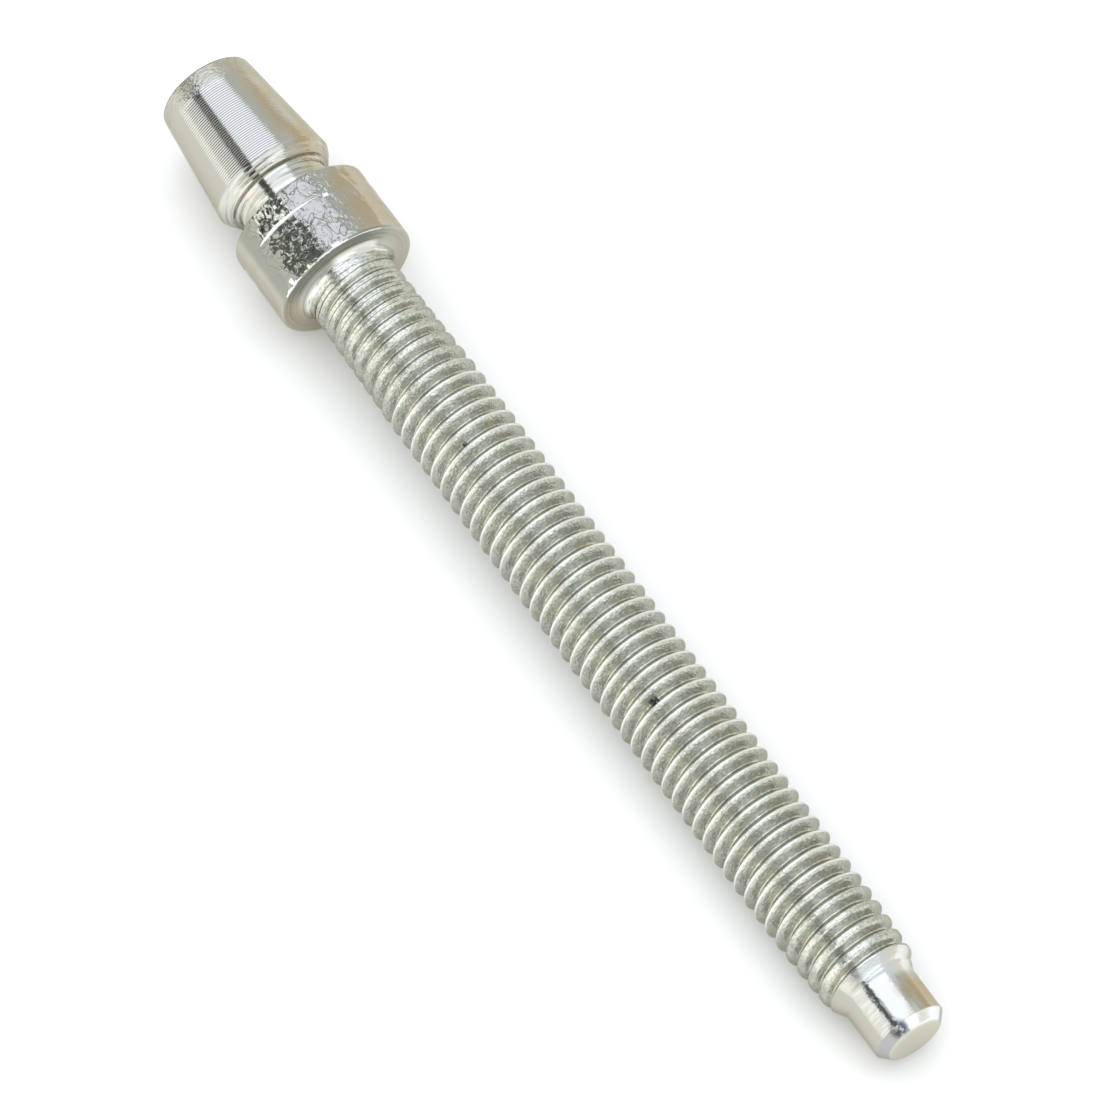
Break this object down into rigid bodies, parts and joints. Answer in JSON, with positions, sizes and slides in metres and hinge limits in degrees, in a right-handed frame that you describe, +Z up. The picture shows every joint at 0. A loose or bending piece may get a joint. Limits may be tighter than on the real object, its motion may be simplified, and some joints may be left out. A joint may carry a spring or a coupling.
{
  "type": "headlight adjustment screw",
  "caption": "Steel adjusting screw with a tapered snap-in head, short neck, round collar, long rolled metric thread and a plain dog point.",
  "frame": {"origin": "centre of the lying screw's footprint, on the surface it lies on", "axes": "+X from the head towards the dog point, level with the floor; +Z up; the screw's own axis dips 1.59 degrees towards the dog point, because it lies on its collar rim and its thread"},
  "size_m": [0.0711, 0.0086, 0.0087],
  "materials": {
    "zinc_plated_steel": "bright zinc plating over turned and rolled steel, satin to semi-bright"
  },
  "bodies": {
    "root": {"adjustment_screw": "zinc_plated_steel"}
  },
  "joints": []
}
